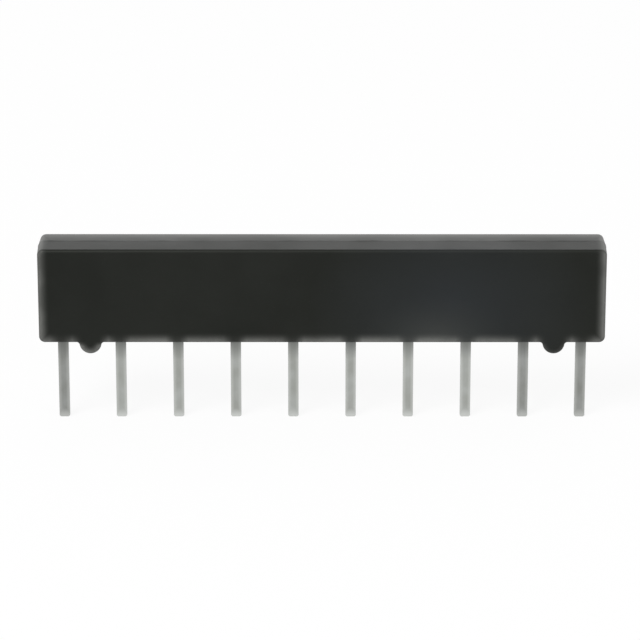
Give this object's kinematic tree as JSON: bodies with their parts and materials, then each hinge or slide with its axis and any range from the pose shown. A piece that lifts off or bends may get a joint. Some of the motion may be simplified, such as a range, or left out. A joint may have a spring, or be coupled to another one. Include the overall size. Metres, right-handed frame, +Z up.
{
  "type": "resistor network",
  "caption": "Black moulded single in-line resistor network: thick-film circuit on a ceramic plate, flat tinned leads in one row, half-round standoffs underneath.",
  "frame": {"origin": "middle of the lead row on the board surface, which the standoffs' feet rest on", "axes": "+X along the lead row from lead 1, +Y from the front face to the rear face, +Z up from the board"},
  "size_m": [0.025, 0.0024, 0.0082],
  "materials": {
    "moulding": "black moulded epoxy with a fine mould grain",
    "tinned_lead": "matt tin plate on a copper alloy",
    "alumina": "white fired alumina",
    "conductor": "fired silver-palladium film",
    "resistor_film": "fired dark resistor film",
    "glaze": "thin green glass coat",
    "solder": "satin solder"
  },
  "bodies": {
    "root": {"moulded_body": "moulding", "substrate": "alumina", "common_conductor": "conductor", "overglaze": "glaze", "pad_2": "conductor", "pad_3": "conductor", "pad_4": "conductor", "pad_5": "conductor", "pad_6": "conductor", "pad_7": "conductor", "pad_8": "conductor", "pad_9": "conductor", "pad_10": "conductor", "resistor_2": "resistor_film", "resistor_3": "resistor_film", "resistor_4": "resistor_film", "resistor_5": "resistor_film", "resistor_6": "resistor_film", "resistor_7": "resistor_film", "resistor_8": "resistor_film", "resistor_9": "resistor_film", "resistor_10": "resistor_film", "lead_1": "tinned_lead", "lead_2": "tinned_lead", "lead_3": "tinned_lead", "lead_4": "tinned_lead", "lead_5": "tinned_lead", "lead_6": "tinned_lead", "lead_7": "tinned_lead", "lead_8": "tinned_lead", "lead_9": "tinned_lead", "lead_10": "tinned_lead", "solder_1": "solder", "solder_2": "solder", "solder_3": "solder", "solder_4": "solder", "solder_5": "solder", "solder_6": "solder", "solder_7": "solder", "solder_8": "solder", "solder_9": "solder", "solder_10": "solder"}
  },
  "joints": []
}
